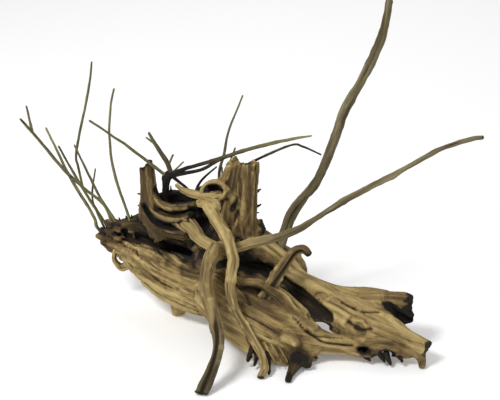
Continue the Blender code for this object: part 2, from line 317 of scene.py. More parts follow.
# Hollows: facing, blend, stations. The half thickness is how deep they go.
HOLLOWS = {
    "crown_hollow": (
        FRONT, 3,
        ((-57, 46, 122, 5, 14), (-52, 38, 117, 9, 20), (-48, 32, 109, 10, 24), (-42, 24, 100, 8, 20)),
    ),
    "under_sweep": (
        FRONT, 2,
        ((-111, 66, 120, 1.2, 5), (-101, 56, 108, 1.8, 7), (-88, 50, 105, 2, 8),
         (-75, 47, 107, 2.4, 9), (-62, 44, 113, 3.6, 11)),
    ),
    "wall_slot": (
        FRONT, 2.5,
        ((-97, 72, 138, 2.5, 8), (-86, 70, 131, 4, 8), (-72, 68, 130, 3, 8), (-60, 64, 133, 3, 8)),
    ),
    "gap_over_slab": (
        FRONT_UP, 2.5,
        ((-18, 4, 83, 2.5, 12), (4, 4, 82, 4, 18), (24, 2, 77, 4.5, 16), (38, -4, 66, 6, 18),
         (52, -10, 52, 8, 15), (67, -17, 43, 8, 10), (80, -22, 37, 5, 8)),
    ),
    "see_through": (
        (0.4, 0, 0.9), 1.5,
        ((73.5, -64, 47, 5.8, 3.4), (77, -20, 25, 5.8, 3.8), (81, 40, -6, 5.8, 4.6)),
    ),
    "left_cleft": (
        FRONT_UP, 2.5,
        ((-142, 94, 74, 1.5, 6), (-127, 86, 75, 2.5, 8), (-111, 77, 76, 4, 11),
         (-95, 69, 75, 5, 14), (-79, 62, 72, 4.5, 14), (-58, 51, 70, 3, 11)),
    ),
    "ring_hole": (
        UP, 1.5,
        ((-38, 0, 169.5, 7.5, 5.8), (-38, 28, 156, 7.5, 5.8), (-37, 41, 150, 7, 5.5)),
    ),
    "knot_a": (UP, 2, ((114, -80, 26, 6, 3.5), (114, -56, 18, 6, 4), (113, -44, 13, 4, 3))),
    "knot_b": (UP, 2, ((137, -78, 22, 6, 3), (138, -58, 13, 7, 3.5), (138, -46, 9, 5, 3))),
    "end_groove": (
        FRONT_UP, 4,
        ((124, -34, 68, 1.2, 5), (133, -30, 61, 2.4, 6), (142, -28, 52, 2.8, 7),
         (152, -29, 43, 3.2, 8), (161, -31, 36, 3.6, 8)),
    ),
    "stump_crack": (FRONT, 2, ((-12, 30, 148, 1, 4), (-14, 30, 140, 2.6, 7), (-18, 30, 132, 2, 5))),
}

# Cracks cut into the skin: half width, depth, places along each
CRACKS = (
    (
        1.8, 1.6,
        ((-107, 70, 58), (-94, 58, 53), (-89, 50, 47), (-90, 44, 38), (-85, 38, 32), (-74, 32, 29)),
    ),
    (
        1.8, 2.2,
        ((26, -48, 59), (46, -48, 48), (55, -48, 36), (66, -46, 29), (81, -44, 26), (96, -40, 23)),
    ),
    (1.7, 1.8, ((46, -52, 48), (62, -50, 33), (76, -50, 23), (103, -50, 20))),
    (2.0, 2.5, ((-5, -34, 68), (0, -38, 60))),
    (1.7, 1.6, ((10, -56, 46), (20, -62, 34), (26, -66, 26))),
    (1.7, 2.0, ((-142, 90, 66), (-120, 80, 58), (-106, 70, 52))),
    (1.6, 1.8, ((-134, 90, 71), (-112, 78, 66), (-92, 66, 58))),
    (1.6, 1.6, ((-128, 84, 48), (-112, 76, 43), (-100, 66, 38))),
    (1.5, 1.5, ((-128, 88, 66), (-106, 76, 60), (-96, 68, 52))),
    (1.6, 1.4, ((100, -34, 38), (112, -38, 31), (122, -40, 33))),
    (1.5, 1.4, ((94, -20, 52), (112, -26, 46), (130, -30, 47))),
)

# Knots in the skin: place, radius, depth of the eye
KNOTS = (
    (109, -38, 34, 7, 0.8), (-92, 58, 81, 6, 3.0), (6, -34, 84, 6, 3.0), (-40, 20, 22, 5, 0.8),
)

# Stains and painted shade: place, radius, how much older (darker) the wood is. Some are the
# wood's own stains; others paint shade, as between the left lobe and the front leg and on the
# end knob's far side. A negative amount makes it paler.
STAINS_AND_PAINTED_SHADE = (
    (-75, 72, 130, 20, 1.4), (-58, 66, 130, 14, 1.2), (-99, 59, 128, 7, -0.5),
    (-50, 38, 110, 17, 1.6), (-60, 34, 66, 20, 0.6), (167, -17, 47, 15, 1.5),
    (15, -38, 52, 28, 0.35), (-53, 63, 100, 18, 2.0), (-47, 26, 83, 13, 1.2),
    (-10, 19, 86, 14, 1.4), (6, 17, 87, 12, 1.2), (0, 8, 76, 12, 1.6), (18, 6, 74, 9, 1.6),
    (-26, 18, 79, 12, 1.2), (-28, -10, 74, 10, 0.8), (-19, 24, 96, 10, 0.8),
    (-40, 79, 132, 12, 1.2), (-74, 60, 60, 22, 0.9), (-52, 40, 66, 20, 1.1),
    (-30, 20, 70, 22, 1.0), (-69, 36, 26, 24, -0.8), (-100, 56, 28, 16, -0.3),
    (-20, -16, 62, 12, 0.7), (-6, 4, 96, 14, 1.0), (24, 0, 92, 12, -0.4), (8, -26, 60, 18, 0.45),
    (46, -64, 15, 9, 0.6), (30, -66, 16, 10, 0.9), (0, -50, 40, 16, -0.3), (40, -50, 36, 14, -0.1),
    (138, -56, 12, 13, 1.2), (116, -56, 14, 10, 1.1), (182, -57, 17, 8, 1.6),
    (160, -14, 44, 12, 1.2), (126, -30, 62, 6, 0.9), (-151, 92, 70, 18, 0.75),
    (-16, 40, 104, 22, 0.5), (-10, 46, 168, 18, 0.2), (-13, 42, 126, 16, -0.25),
    (-36, 45, 147, 13, 2.2), (-45, 46, 149, 8, 1.0),
)


# ---------------------------------------------------------------- numbers that vary
def hashed(ix, iy, iz, seed):
    """A repeatable number from -1 to 1 for each whole-number place: the three whole numbers
    are mixed by odd multipliers and shifts, and the low bits scaled."""
    mixed = ix * np.uint32(374761393) + iy * np.uint32(668265263) + iz * np.uint32(2246822519)
    mixed = mixed + np.uint32((seed * 974711 + 12345) % 2**32)
    mixed = (mixed ^ (mixed >> np.uint32(13))) * np.uint32(1274126177)
    mixed = mixed ^ (mixed >> np.uint32(16))
    mixed = mixed * np.uint32(2654435761)
    return ((mixed >> np.uint32(9)) & np.uint32(65535)).astype(np.float32) / 32767.5 - 1.0


def noise(x, y, z, seed):
    """Smooth random heights from -1 to 1: the eight hashed corners around each point, mixed
    by the quintic fade 6t^5 - 15t^4 + 10t^3 along each axis."""
    parts = []
    for value in np.broadcast_arrays(x, y, z):
        floor = np.floor(value)
        t = (value - floor).astype(np.float32)
        parts.append((floor.astype(np.int64).astype(np.uint32), t * t * t * (t * (t * 6 - 15) + 10)))
    (ix, fx), (iy, fy), (iz, fz) = parts
    one = np.uint32(1)
    total = 0.0
    for dx, wx in ((0, 1 - fx), (1, fx)):
        for dy, wy in ((0, 1 - fy), (1, fy)):
            for dz, wz in ((0, 1 - fz), (1, fz)):
                corner = hashed(ix + one * dx, iy + one * dy, iz + one * dz, seed)
                total = total + wx * wy * wz * corner
    return total


def ramp(low, high, value):
    """0 below low, 1 above high, and 3t^2 - 2t^3 between."""
    t = np.clip((value - low) / (high - low), 0.0, 1.0)
    return t * t * (3 - 2 * t)


# ---------------------------------------------------------------- routes
def smooth_route(stations, spacing):
    """Points on a smooth curve through the stations: between two of them it is the cubic whose
    end slopes are half the step between the neighbours on either side."""
    given = np.array(stations, float)
    padded = np.vstack([2 * given[0] - given[1], given, 2 * given[-1] - given[-2]])
    pieces = []
    for index in range(len(given) - 1):
        before, start, end, after = padded[index : index + 4]
        count = max(2, math.ceil(np.linalg.norm((end - start)[:3]) / spacing))
        t = (np.arange(count) / count)[:, None]
        out_slope = (end - before) / 2
        in_slope = (after - start) / 2
        pieces.append(
            (2 * t**3 - 3 * t**2 + 1) * start
            + (t**3 - 2 * t**2 + t) * out_slope
            + (3 * t**2 - 2 * t**3) * end
            + (t**3 - t**2) * in_slope
        )
    return np.vstack(pieces + [given[-1:]])


def unit(vectors):
    """Each vector divided by its own length."""
    return vectors / np.maximum(np.linalg.norm(vectors, axis=-1, keepdims=True), 1e-9)


class Limb:
    """A route with an oval section: the frame at each route point is along, side and flat."""

    def __init__(self, name, facing, blend, breaks, age, relief, stations, seed):
        self.finer = FINER_GRAIN.get(name, 1.0)
        self.charred = LESS_CHARRED.get(name, 1.0)
        self.age = age
        self.relief = relief
        self.swell = min(SWELL_MOST, SWELL_SHARE * min(station[-1] for station in stations))
        self.blend = blend
        self.breaks = breaks
        self.seed = seed
        route = smooth_route(stations, ROUTE_STEP)
        self.spots = route[:, :3]
        self.sizes = route[:, 3:5]
        steps = np.linalg.norm(np.diff(self.spots, axis=0), axis=1)
        self.lengths = np.concatenate([[0.0], np.cumsum(steps)])
        self.along = unit(np.gradient(self.spots, axis=0))
        self.side = unit(np.cross(self.along, np.array(facing, float)))
        self.flat = np.cross(self.side, self.along)
        reach = self.sizes.max() + FIELD_REACH
        self.low = self.spots.min(axis=0) - reach
        self.high = self.spots.max(axis=0) + reach

    def measure(self, points):
        """For each point: signed distance to the oval skin, and length along, across and
        through the limb, all in mm. The nearest point of the route gives the section."""
        nearest = np.full(len(points), np.inf, np.float32)
        which = np.zeros(len(points), np.int32)
        share = np.zeros(len(points), np.float32)
        for index in range(len(self.spots) - 1):
            start = self.spots[index].astype(np.float32)
            step = (self.spots[index + 1] - self.spots[index]).astype(np.float32)
            t = np.clip(((points - start) @ step) / (step @ step), 0, 1)
            gap = points - start - t[:, None] * step
            distance = np.einsum("ij,ij->i", gap, gap)
            closer = distance < nearest
            nearest[closer] = distance[closer]
            which[closer] = index
            share[closer] = t[closer]

        def mixed(values):
            values = values.astype(np.float32)
            weight = share if values.ndim == 1 else share[:, None]
            return values[which] * (1 - weight) + values[which + 1] * weight

        gap = points - mixed(self.spots)
        across = np.einsum("ij,ij->i", gap, mixed(self.side))
        through = np.einsum("ij,ij->i", gap, mixed(self.flat))
        beyond = np.einsum("ij,ij->i", gap, mixed(self.along))
        half = mixed(self.sizes)
        place = mixed(self.lengths) + beyond
        start_round = BROKEN_CAP if self.breaks[0] else self.sizes[0].min()
        end_round = BROKEN_CAP if self.breaks[1] else self.sizes[-1].min()
        cap = np.where(beyond < 0, start_round, end_round)
        parts = np.stack([across / half[:, 0], through / half[:, 1], beyond / cap])
        slopes = np.stack([parts[0] / half[:, 0], parts[1] / half[:, 1], parts[2] / cap])
        radius = np.sqrt((parts**2).sum(axis=0))
        slope = np.sqrt((slopes**2).sum(axis=0)) / np.maximum(radius, 1e-6)
        skin = np.where(radius > 0.02, (radius - 1) / np.maximum(slope, 1e-6), -half.min(axis=1))
        return skin, place, across, through

    def broken_ends(self, place, across, through):
        """How far each point lies past the splintered ends (negative inside): each bundle of
        fibres ends at its own length, from noise across the section."""
        bundle = 0.5 + 0.5 * noise(across / 8, through / 8, place / 60, self.seed + 71)
        fibre = 0.5 + 0.5 * noise(across / 3.6, through / 3.6, place / 60, self.seed + 72)
        uneven = 0.55 * bundle + 0.45 * fibre
        past = np.full(len(place), -1e3, np.float32)
        if self.breaks[0]:
            past = np.maximum(past, self.breaks[0] * uneven - place)
        if self.breaks[1]:
            past = np.maximum(past, place - self.lengths[-1] + self.breaks[1] * uneven)
        return past


def soft_min(a, b, blend):
    """The lower of two fields, rounded where they are within the blend of each other."""
    mix = np.clip(0.5 + 0.5 * (b - a) / blend, 0, 1)
    return b * (1 - mix) + a * mix - blend * mix * (1 - mix)


def all_limbs():
    """The limbs of the table, then the lumps, each a stub one radius long."""
    made = []
    for number, (name, row) in enumerate(LIMBS.items()):
        made.append(Limb(name, *row, LIMB_SEED_STEP * number + LIMB_SEED))
    for number, (x, y, z, radius, age) in enumerate(LUMPS):
        stations = []
        for step in (-0.5 * radius, 0.5 * radius):
            stations.append((x + step, y - step / 2, z - step / 4, radius, radius))
        seed = LUMP_SEED + LIMB_SEED_STEP * number
        made.append(Limb("lump", FRONT_UP, LUMP_BLEND, (0, 0), age, 1.0, stations, seed))
    return made


def all_hollows():
    """The hollows of the table, as limbs that are taken out."""
    made = []
    for number, (name, (facing, blend, stations)) in enumerate(HOLLOWS.items()):
        seed = HOLLOW_SEED + LIMB_SEED_STEP * number
        made.append(Limb(name, facing, blend, (0, 0), 0.0, 1.0, stations, seed))
    return made


limbs = all_limbs()
hollows = all_hollows()


def field_at(points):
    """The crown's field at points in mm: negative inside the wood. Limbs join by soft_min, with
    broad swellings that run along each limb, and hollows are taken out the same way."""
    field = np.full(len(points), FIELD_REACH, np.float32)
    for limb in limbs + hollows:
        near = np.flatnonzero(((points > limb.low) & (points < limb.high)).all(axis=1))
        if not len(near):
            continue
        skin, place, across, through = limb.measure(points[near])
        swell = noise(place / 46, across / 14, through / 14, limb.seed)
        swell = swell + 0.5 * noise(place / 30, across / 6.5, through / 6.5, limb.seed + 1)
        if limb in hollows:
            field[near] = -soft_min(-field[near], skin + 1.2 * swell, limb.blend)
            continue
        skin = skin - limb.swell * swell
        if any(limb.breaks):
            skin = np.maximum(skin, 0.7 * limb.broken_ends(place, across, through))
        field[near] = soft_min(field[near], skin, limb.blend)
    return np.maximum(field, FOOT_HEIGHT - points[:, 2])


def crown_field():
    """The field over a fine grid. A coarse grid finds where the skin is, and only the fine
    points near it are worked out; the others keep the coarse value, whose sign is right."""
    low = np.min([limb.low for limb in limbs], axis=0)
    high = np.max([limb.high for limb in limbs], axis=0)
    low[2] = GRID_FLOOR
    step = GRID_STEP * COARSE
    counts = np.ceil((high - low) / step).astype(int) + 1
    coarse = [low[k] + step * np.arange(counts[k]) for k in range(3)]
    spots = np.stack(np.meshgrid(*coarse, indexing="ij"), axis=-1).reshape(-1, 3).astype(np.float32)
    rough = field_at(spots).reshape(counts)
    half = COARSE // 2
    fine = [np.arange((n - 1) * COARSE + 1 - half) for n in counts]
    nearest = np.ix_(*[index // COARSE for index in fine])
    shifted = np.ix_(*[(index + half) // COARSE for index in fine])
    field = rough[shifted]
    band = np.abs(rough) < BAND * step
    wanted = np.argwhere(band[nearest] | band[shifted])
    points = (low + GRID_STEP * wanted).astype(np.float32)
    field[tuple(wanted.T)] = field_at(points)
    return field, low


def skin_of(field, low):
    """Vertices and quads of the surface where the field is zero: one vertex in each grid cell
    that the surface crosses, at the mean of its edge crossings, and one quad for each grid
    edge with its ends on opposite sides."""
    inside = field < 0
    counts = np.array(field.shape)
    crossed = np.zeros(counts - 1, np.int8)
    corners = [(i, j, k) for i in (0, 1) for j in (0, 1) for k in (0, 1)]
    for i, j, k in corners:
        crossed += inside[i : counts[0] - 1 + i, j : counts[1] - 1 + j, k : counts[2] - 1 + k]
    cells = np.argwhere((crossed > 0) & (crossed < 8))
    numbers = np.full(counts - 1, -1, np.int64)
    numbers[tuple(cells.T)] = np.arange(len(cells))
    total = np.zeros((len(cells), 3))
    found = np.zeros(len(cells))
    for start in corners:
        for axis in range(3):
            if start[axis]:
                continue
            end = list(start)
            end[axis] = 1
            a = field[tuple((cells + start).T)]
            b = field[tuple((cells + end).T)]
            cuts = (a < 0) != (b < 0)
            t = np.where(cuts, a / np.where(cuts, a - b, 1), 0)
            spot = np.tile(np.array(start, float), (len(cells), 1))
            spot[:, axis] = t
            total += np.where(cuts[:, None], spot, 0)
            found += cuts
    verts = low + GRID_STEP * (cells + total / found[:, None])
    quads = []
    for axis in range(3):
        ahead = np.roll(inside, -1, axis=axis)
        edges = inside != ahead
        for other in range(3):
            rim = [slice(None)] * 3
            rim[other] = slice(0, 1) if other != axis else slice(-1, None)
            edges[tuple(rim)] = False
            if other != axis:
                rim[other] = slice(-1, None)
                edges[tuple(rim)] = False
        spots = np.argwhere(edges)
        second = (axis + 1) % 3
        third = (axis + 2) % 3
        ring = []
        for back_second, back_third in ((1, 1), (0, 1), (0, 0), (1, 0)):
            cell = spots.copy()
            cell[:, second] -= back_second
            cell[:, third] -= back_third
            ring.append(numbers[tuple(cell.T)])
        ring = np.stack(ring, axis=1)
        outward = inside[tuple(spots.T)]
        quads.append(np.where(outward[:, None], ring, ring[:, ::-1]))
    return verts, np.concatenate(quads)


def vertex_normals(verts, quads):
    """Each vertex's normal: the sum of the diagonals' cross products of its quads, made unit."""
    a, b, c, d = (verts[quads[:, k]] for k in range(4))
    face = np.cross(c - a, d - b)
    total = np.stack(
        [np.bincount(quads.ravel(), np.repeat(face[:, k], 4), len(verts)) for k in range(3)], axis=1
    )
    return unit(total)


def relaxed(verts, quads, share, rounds):
    """Vertices moved a share of the way to the mean of their neighbours along quad edges."""
    starts = quads.ravel()
    ends = np.roll(quads, -1, axis=1).ravel()
    size = len(verts)
    count = np.bincount(starts, minlength=size) + np.bincount(ends, minlength=size)
    for _ in range(rounds):
        sums = []
        for part in verts.T:
            sums.append(np.bincount(starts, part[ends], size) + np.bincount(ends, part[starts], size))
        mean = np.stack(sums, axis=1) / count[:, None]
        verts = verts + share * (mean - verts)
    return verts


def fibre_relief(place, across, through, seed):
    """Height of the grain in mm, the darkness of its cracks, the wandering coordinates across
    it, and its tone: ridges and furrows stretched along the limb, and cracks where a slow noise
    passes zero."""
    a = across + 4.0 * noise(place / 40, across / 20, through / 20, seed + 11)
    b = through + 3.0 * noise(place / 40, across / 20, through / 20, seed + 12)
    broad = noise(place / 75, a / 7.5, b / 7.5, seed + 13)
    narrow = noise(place / 42, a / 3.4, b / 3.4, seed + 14)
    slow = noise(place / 170, a / 11, b / 11, seed + 15)
    where = ramp(0.05, 0.45, noise(place / 50, a / 13, b / 13, seed + 16))
    crack = (1 - ramp(0.0, 0.16, np.abs(slow))) * where
    furrow = 1 - 2 * np.abs(broad)
    lumps = noise(place / 10, a / 6, b / 6, seed + 18)
    height = 0.9 * broad - 0.8 * furrow + 0.75 * narrow + 0.55 * lumps - 2.6 * crack
    return height, crack, a, b, 0.5 * broad - 0.4 * furrow + 0.5 * narrow


def painted_shade_at(points, normals):
    """Painted shade: 0 in the open, 1 deep in a hollow: how much nearer the wood is, at three
    distances out along the normal, than it would be over a flat face. The shader darkens the
    colour by it."""
    closed = np.zeros(len(points))
    for reach, share in ((3.0, 0.3), (8.0, 0.4), (16.0, 0.3)):
        spots = (points + normals * reach).astype(np.float32)
        spots[:, 2] = np.maximum(spots[:, 2], LOWEST_PROBE)
        above = field_at(spots)
        closed += share * np.clip(1 - above / (0.85 * min(reach, FIELD_REACH)), 0, 1)
    return closed


def distance_to_line(points, line, facing):
    """Distance from each point to a bent line, with gaps along the facing counted a fifth."""
    nearest = np.full(len(points), np.inf)
    facing = unit(np.array(facing, float))
    for start, end in zip(line[:-1], line[1:]):
        step = end - start
        t = np.clip(((points - start) @ step) / (step @ step), 0, 1)
        gap = points - start - t[:, None] * step
        gap = gap - 0.8 * (gap @ facing)[:, None] * facing
        nearest = np.minimum(nearest, np.linalg.norm(gap, axis=1))
    return nearest


def marks_at(points):
    """Cracks, knots, stains and painted shade at each point: the height they add in mm, their
    darkness, the change of age (which carries the painted shade too), and how far the grain bends
    aside round a knot."""
    height = np.zeros(len(points))
    dark = np.zeros(len(points))
    age = np.zeros(len(points))
    bend = np.ones(len(points))
    x, y, z = points.T
    ragged = noise(x / 5, y / 5, z / 5, 77)
    for width, depth, stops in CRACKS:
        gap = distance_to_line(points, smooth_route(stops, 4.0), FRONT_UP)
        gap = gap + 0.6 * ragged
        cut = 1 - ramp(0.2 * width, 1.5 * width, gap)
        height = height - depth * cut
        dark = np.maximum(dark, cut)
        lip = (1 - ramp(0, 2.2 * width, np.abs(gap - 2.6 * width))) * 0.4
        height = height + lip
    for x_eye, y_eye, z_eye, radius, depth in KNOTS:
        gap = points - np.array([x_eye, y_eye, z_eye], float)
        gap = gap - 0.6 * (gap @ unit(np.array(FRONT)))[:, None] * unit(np.array(FRONT))
        ratio = np.linalg.norm(gap, axis=1) / radius * (1 + 0.3 * ragged)
        rim = np.exp(-(((ratio - 0.95) / 0.35) ** 2))
        eye = np.exp(-((ratio / 0.5) ** 2))
        height = height + 0.6 * rim - depth * eye
        dark = np.maximum(dark, 0.6 * eye)
        age = age + 0.4 * np.exp(-((ratio / 0.9) ** 2))
        bend = bend * (1 - 0.9 * np.exp(-((ratio / 1.3) ** 2)))
    uneven = 1 + 0.35 * noise(x / 11, y / 11, z / 11, 78) + 0.25 * noise(x / 4, y / 4, z / 4, 79)
    # Stains add to the age: some are the wood's own, some are painted shade
    for x_mid, y_mid, z_mid, radius, amount in STAINS_AND_PAINTED_SHADE:
        far = np.linalg.norm(points - np.array([x_mid, y_mid, z_mid], float), axis=1) * uneven
        age = age + amount * (1 - ramp(0.35 * radius, 1.25 * radius, far))
    return height, dark, age, bend


def crown_surface():
    """The crown's vertices, quads and per-vertex looks: the skin is smoothed, each limb's grain
    is mixed in by how near its own skin is, and the height of the grain, cracks and knots then
    moves every vertex along its normal."""
    field, low = crown_field()
    verts, quads = skin_of(field, low)
    verts = relaxed(verts, quads, *SKIN_SMOOTHING)
    normals = vertex_normals(verts, quads)
    count = len(verts)
    points = verts.astype(np.float32)
    marks, marks_dark, marks_age, bend = marks_at(points)
    weight = np.zeros(count)
    sums = {key: np.zeros(count) for key in ("height", "crack", "tone", "char", "age")}
    grain = np.zeros((count, 3))
    for limb in limbs:
        near = np.flatnonzero(((points > limb.low) & (points < limb.high)).all(axis=1))
        skin, place, across, through = limb.measure(points[near])
        if any(limb.breaks):
            past = limb.broken_ends(place, across, through)
            skin = np.maximum(skin, past)
        strength = np.exp(-np.clip(skin, -20, 20) / 2.0)
        finer = limb.finer * bend[near]
        height, crack, a, b, tone = fibre_relief(place, across * finer, through * finer, limb.seed)
        weight[near] += strength
        sums["height"][near] += strength * height * limb.relief
        sums["crack"][near] += strength * crack
        sums["tone"][near] += strength * tone
        sums["age"][near] += strength * limb.age
        grain[near] += strength[:, None] * np.stack([place, a, b], axis=1)
        if any(limb.breaks):
            reach = 7 + 7 * noise(a / 4, b / 4, place / 50, limb.seed + 17)
            blackened = 1 - ramp(0, 1, -past / np.maximum(reach, 2))
            sums["char"][near] += strength * limb.charred * blackened
    weight = np.maximum(weight, 1e-9)
    height, crack, tone, char, age = (total / weight for total in sums.values())
    grain = grain / weight[:, None]
    height = height + marks
    crack = np.maximum(crack, marks_dark)
    age = age + marks_age
    # Near each hollow's skin the colour darkens: painted shade, with some char
    hollow_shade_and_char = np.zeros(count)
    for hollow in hollows:
        near = np.flatnonzero(((points > hollow.low) & (points < hollow.high)).all(axis=1))
        skin = hollow.measure(points[near])[0]
        hollow_shade_and_char[near] = np.maximum(hollow_shade_and_char[near], 1 - ramp(0.5, 4.0, skin))
    # Painted shade where other wood is near, as deep in hollows and between limbs
    painted_shade = painted_shade_at(verts, normals)
    feet = ramp(*FEET_FADE, verts[:, 2])
    verts = verts + normals * (height * feet)[:, None]
    # How far each vertex stands out of its smoothed skin; the shader makes ridges paler and furrows
    # darker by it, painted shade in the furrows
    rise = ((verts - relaxed(verts, quads, *BROAD_SMOOTHING)) * normals).sum(axis=1)
    looks = {
        "grain": grain,
        "look": np.stack([tone, crack, char], axis=1),
        "age_and_shade": np.stack([age, painted_shade, hollow_shade_and_char], axis=1),
        "rise": np.clip(rise, -2, 2),
    }
    return verts, quads, looks


# ---------------------------------------------------------------- meshes
def put_in_scene(name, data):
    """An object that shows the data."""
    made = bpy.data.objects.new(name, data)
    bpy.context.scene.collection.objects.link(made)
    return made


def new_mesh(name, verts, quads, looks):
    """A mesh object from arrays in mm, with its looks stored per vertex."""
    data = bpy.data.meshes.new(name)
    data.vertices.add(len(verts))
    data.vertices.foreach_set("co", (np.asarray(verts) * MM).astype(np.float32).ravel())
    sizes = np.full(len(quads), 4, np.int32)
    data.loops.add(int(sizes.sum()))
    data.loops.foreach_set("vertex_index", quads.astype(np.int32).ravel())
    data.polygons.add(len(quads))
    data.polygons.foreach_set("loop_start", (np.cumsum(sizes) - sizes).astype(np.int32))
    data.polygons.foreach_set("loop_total", sizes)
    data.update(calc_edges=True)
    data.validate()
    data.polygons.foreach_set("use_smooth", np.ones(len(data.polygons), bool))
    for key, values in looks.items():
        kind = "FLOAT" if values.ndim == 1 else "FLOAT_VECTOR"
        attribute = data.attributes.new(key, kind, "POINT")
        field_name = "value" if values.ndim == 1 else "vector"
        attribute.data.foreach_set(field_name, values.astype(np.float32).ravel())
    return put_in_scene(name, data)


# ---------------------------------------------------------------- slim members
def frames_along(spots):
    """The unit direction, side and flat at each point of a route. The side turns as little as
    it can: each is the one before, less its part along the new direction, made unit."""
    along = unit(np.gradient(spots, axis=0))
    side = np.zeros_like(along)
    side[0] = unit(np.cross(along[0], (0.3, 0.2, 0.9)))
    for index in range(1, len(along)):
        side[index] = unit(side[index - 1] - along[index] * (side[index - 1] @ along[index]))
    return along, side, np.cross(along, side)


def groove_at(s, turn, groove):
    """1 in the bottom of a groove and 0 outside it: from the gap in angle to its wandering
    middle, faded out over 8 mm at both ends."""
    start, end, angle, half_turn = groove
    middle = angle - 0.25 * np.sin(s / 14)
    gap = np.abs((turn[None, :] - middle + math.pi) % (2 * math.pi) - math.pi)
    slot = 1 - ramp(0.2 * half_turn, half_turn, gap)
    return slot * ramp(start - 8, start + 8, s) * (1 - ramp(end - 8, end + 8, s))


def ring_quads(rings, around):
    """Quads between each ring of points and the next."""
    row = np.arange(rings - 1)[:, None] * around
    here = np.arange(around)[None, :]
    after = (here + 1) % around
    corners = (row + here, row + after, row + around + after, row + around + here)
    return np.stack(corners, axis=-1).reshape(-1, 4)


def carried_round(
    stations,
    grid,
    seed,
    relief=1.0,
    groove=None,
    depth=0.0,
    wobble=0.6,
    age=(0, 0),
    char=(0, 0),
    cut=0.0,
    knobs=1.0,
):
    """A tube carried along a smooth route: at length s and angle t the radius is the route's
    radius, times swellings along it, plus grain ridges stretched along s, less a groove. The
    ends close on a pole, rounded over one radius, or slant where they are cut."""
    around, step = grid
    route = smooth_route(stations, step)
    spots = route[:, :3]
    steps = np.linalg.norm(np.diff(spots, axis=0), axis=1)
    length = np.concatenate([[0.0], np.cumsum(steps)])
    total = length[-1]
    fade = ramp(0, 12, length) * ramp(0, 6, total - length)
    shift = []
    for k in range(3):
        slow = noise(length / 17, 0.5, 0.5, seed + k)
        shift.append(slow + 0.5 * noise(length / 7, 0.5, 0.5, seed + 9 + k))
    shift = np.stack(shift, axis=1)
    spots = spots + wobble * fade[:, None] * shift * np.minimum(route[:, 3:4], 4) / 3
    along, side, flat = frames_along(spots)
    long_swell = noise(length / 19, 3.5, 0.5, seed + 21)
    short_swell = noise(length / 7, 7.5, 0.5, seed + 22)
    base = route[:, 3] * (1 + 0.15 * long_swell + 0.08 * short_swell)
    near_end = np.minimum(length, (total - length) * (3 if cut else 1)) / base
    base = base * np.sqrt(np.clip(1 - (1 - np.clip(near_end, 0, 1)) ** 2, 0.0, 1))
    turn = np.arange(around) * (2 * math.pi / around)
    s = length[:, None] + 0 * turn[None, :]
    across = base[:, None] * np.cos(turn)
    through = base[:, None] * np.sin(turn)
    scale = np.maximum(base.max() / 6, 0.25)
    broad = noise(s / 38, across / (3.4 * scale), through / (3.4 * scale), seed + 31)
    narrow = noise(s / 17, across / (1.5 * scale), through / (1.5 * scale), seed + 32)
    slow = noise(s / 60, across / (6 * scale), through / (6 * scale), seed + 33)
    crack = (1 - ramp(0, 0.12, np.abs(slow))) * ramp(-0.1, 0.3, noise(s / 30, 0.5, 9.5, seed + 34))
    nodule = ramp(0.3, 0.8, noise(s / 7, across / (3 * scale), through / (3 * scale), seed + 35))
    height = relief * scale * (0.6 * broad + 0.4 * narrow + knobs * nodule - 1.0 * crack)
    if groove:
        slot = groove_at(s, turn, groove)
        height = height - depth * slot
        crack = np.maximum(crack, slot)
    body = np.minimum(1, base / np.maximum(route[:, 3], 1e-6))[:, None]
    radius = np.maximum(base[:, None] + height * body, 0.15 * base[:, None])
    slant = cut * ramp(total - 14, total, length)
    verts = (
        spots[:, None, :]
        + along[:, None, :] * (slant[:, None] * radius * np.cos(turn - 0.6))[:, :, None]
        + side[:, None, :] * (radius * np.cos(turn))[:, :, None]
        + flat[:, None, :] * (radius * np.sin(turn))[:, :, None]
    )
    outward = side[:, None, :] * np.cos(turn)[:, None] + flat[:, None, :] * np.sin(turn)[:, None]
    flat_verts = verts.reshape(-1, 3)
    # Painted shade where the tube runs close to other wood
    painted_shade = painted_shade_at(flat_verts, outward.reshape(-1, 3))
    ages = age[0] + (age[1] - age[0]) * (s / total)
    burnt_start = 1 - ramp(0, 1, s / max(char[0], 1e-3))
    burnt_end = 1 - ramp(0, 1, (total - s) / max(char[1], 1e-3))
    blackened = np.maximum(burnt_start, burnt_end)
    looks = {
        "grain": np.stack([s + seed, across, through], axis=-1).reshape(-1, 3),
        "look": np.stack([0.6 * broad + 0.5 * narrow, crack, blackened], axis=-1).reshape(-1, 3),
        "age_and_shade": np.stack([ages.ravel(), painted_shade, 0 * painted_shade], axis=1),
        # the relief, by which the shader makes ridges paler and paints shade in the furrows
        "rise": np.clip(height * 1.2 / scale, -2, 2).ravel(),
        "length_along": (s / total).ravel(),
    }
    return flat_verts, ring_quads(len(length), around), looks


def joined(parts):
    """One set of vertices, quads and looks from several."""
    starts = np.cumsum([0] + [len(verts) for verts, _, _ in parts[:-1]])
    verts = np.vstack([part[0] for part in parts])
    quads = np.vstack([part[1] + start for part, start in zip(parts, starts)])
    looks = {key: np.concatenate([part[2][key] for part in parts]) for key in parts[0][2]}
    return verts, quads, looks


